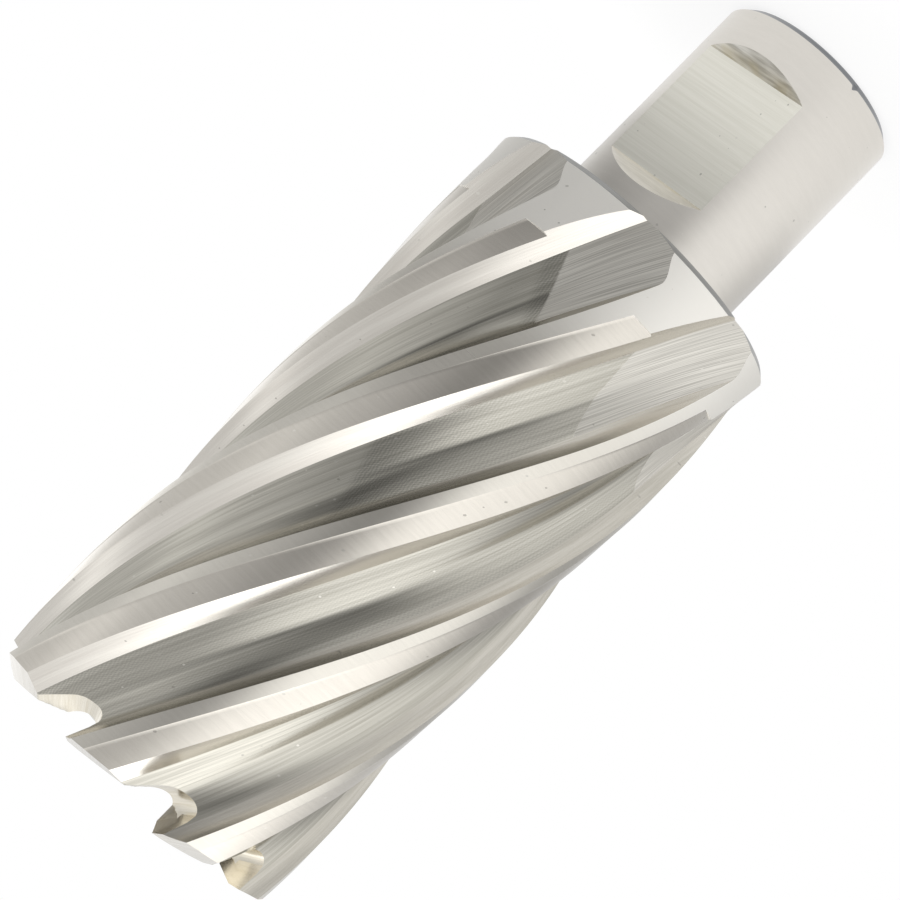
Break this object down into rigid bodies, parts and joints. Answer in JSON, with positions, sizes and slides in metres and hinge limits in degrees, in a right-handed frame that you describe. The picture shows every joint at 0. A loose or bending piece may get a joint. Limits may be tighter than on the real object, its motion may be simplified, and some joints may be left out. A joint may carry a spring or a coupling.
{
  "type": "annular cutter",
  "caption": "Hollow fluted hole cutter for a magnetic drill, with helical flutes, gulleted end teeth and a straight shank with driving flats.",
  "frame": {"origin": "centre of the shank's end face, which it stands on", "axes": "+Z along the tool's axis from the shank end to the teeth, the two driving flats face 45 degrees either side of +X, the one that the picture shows towards -Y"},
  "size_m": [0.032, 0.032, 0.0874],
  "materials": {
    "tool_steel": "ground and brushed tool steel, satin shank"
  },
  "bodies": {
    "root": {"annular_cutter": "tool_steel"}
  },
  "joints": []
}
